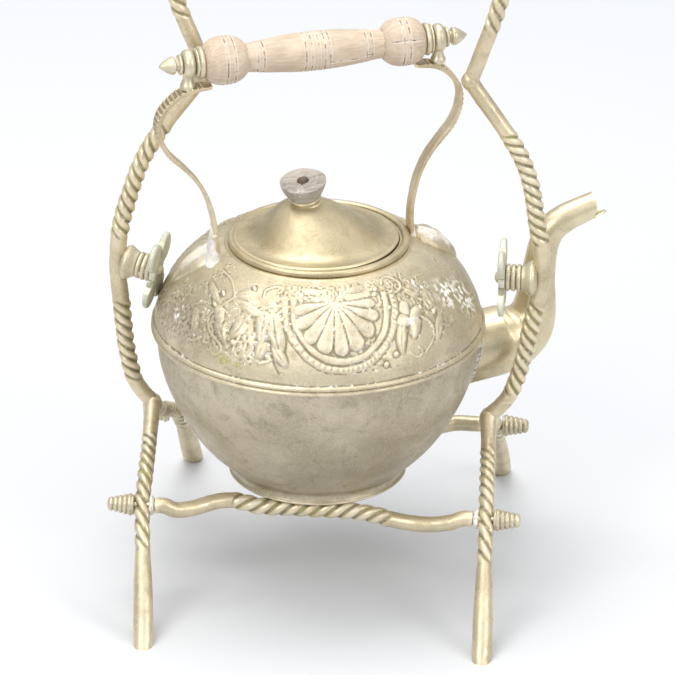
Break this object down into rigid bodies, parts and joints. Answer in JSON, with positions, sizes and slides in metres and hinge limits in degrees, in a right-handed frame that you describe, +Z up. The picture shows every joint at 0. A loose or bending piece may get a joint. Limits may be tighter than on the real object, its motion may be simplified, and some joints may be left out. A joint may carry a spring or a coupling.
{
  "type": "spirit kettle on stand",
  "caption": "Aged brass spirit kettle with a turned wooden grip, resting on the stretchers of a rope-twist four-legged stand with a tall top arch.",
  "frame": {"origin": "on the floor, under the middle of the whole object's bounding box", "axes": "+Z up; the stand's frame lies in the X-Z plane, its front legs splay towards -Y, and the spout points towards +X and a little back"},
  "size_m": [0.2658, 0.2482, 0.4357],
  "materials": {
    "aged_brass": "dull, aged",
    "patinated_brass": "dull, green patina",
    "tin_solder": "dull, tinned",
    "iron": "dull, rusty",
    "turned_wood": "weathered, matte",
    "dark_wood": "worn, matte"
  },
  "bodies": {
    "stand": {"boss_left": "aged_brass", "boss_right": "aged_brass", "leg_front_left": "aged_brass", "leg_front_right": "aged_brass", "leg_rear_left": "aged_brass", "leg_rear_right": "aged_brass", "lobed_plate_left": "patinated_brass", "lobed_plate_right": "patinated_brass", "plate_screw_left": "aged_brass", "plate_screw_right": "aged_brass", "stretcher_collar_front_left": "tin_solder", "stretcher_collar_front_right": "tin_solder", "stretcher_collar_rear_left": "tin_solder", "stretcher_collar_rear_right": "tin_solder", "stretcher_front": "aged_brass", "stretcher_nut_front_left": "aged_brass", "stretcher_nut_front_right": "aged_brass", "stretcher_nut_rear_left": "aged_brass", "stretcher_nut_rear_right": "aged_brass", "stretcher_rear": "aged_brass", "top_arch": "aged_brass", "upright_left": "aged_brass", "upright_right": "aged_brass"},
    "kettle": {"foot_ring": "aged_brass", "grip_ferrule_left": "aged_brass", "grip_ferrule_right": "aged_brass", "handle_eye_left": "aged_brass", "handle_eye_right": "aged_brass", "handle_finial_left": "aged_brass", "handle_finial_right": "aged_brass", "handle_lug_left": "aged_brass", "handle_lug_right": "aged_brass", "handle_rod": "iron", "handle_strap_left": "aged_brass", "handle_strap_right": "aged_brass", "lower_body": "aged_brass", "neck_ring": "aged_brass", "spout": "aged_brass", "spout_flange": "tin_solder", "upper_body": "aged_brass"},
    "grip": {"wooden_grip": "turned_wood"},
    "lid": {"lid": "aged_brass", "lid_knob": "dark_wood", "lid_rim": "aged_brass", "knob_nut": "aged_brass", "knob_screw": "iron", "knob_washer": "aged_brass"}
  },
  "joints": [
    {"name": "kettle_lift", "type": "slide", "parent": "stand", "child": "kettle", "axis": [0.3746, 0, 0.9272], "range_m": [0, 0.018]},
    {"name": "lid_lift", "type": "slide", "parent": "kettle", "child": "lid", "axis": [0, 0, 1], "range_m": [0, 0.055]},
    {"name": "grip_spin", "type": "hinge", "parent": "kettle", "child": "grip", "pos_m": [-0.02247, -0.00441, 0.303], "axis": [0.9367, 0.3502, 0], "continuous": true}
  ]
}
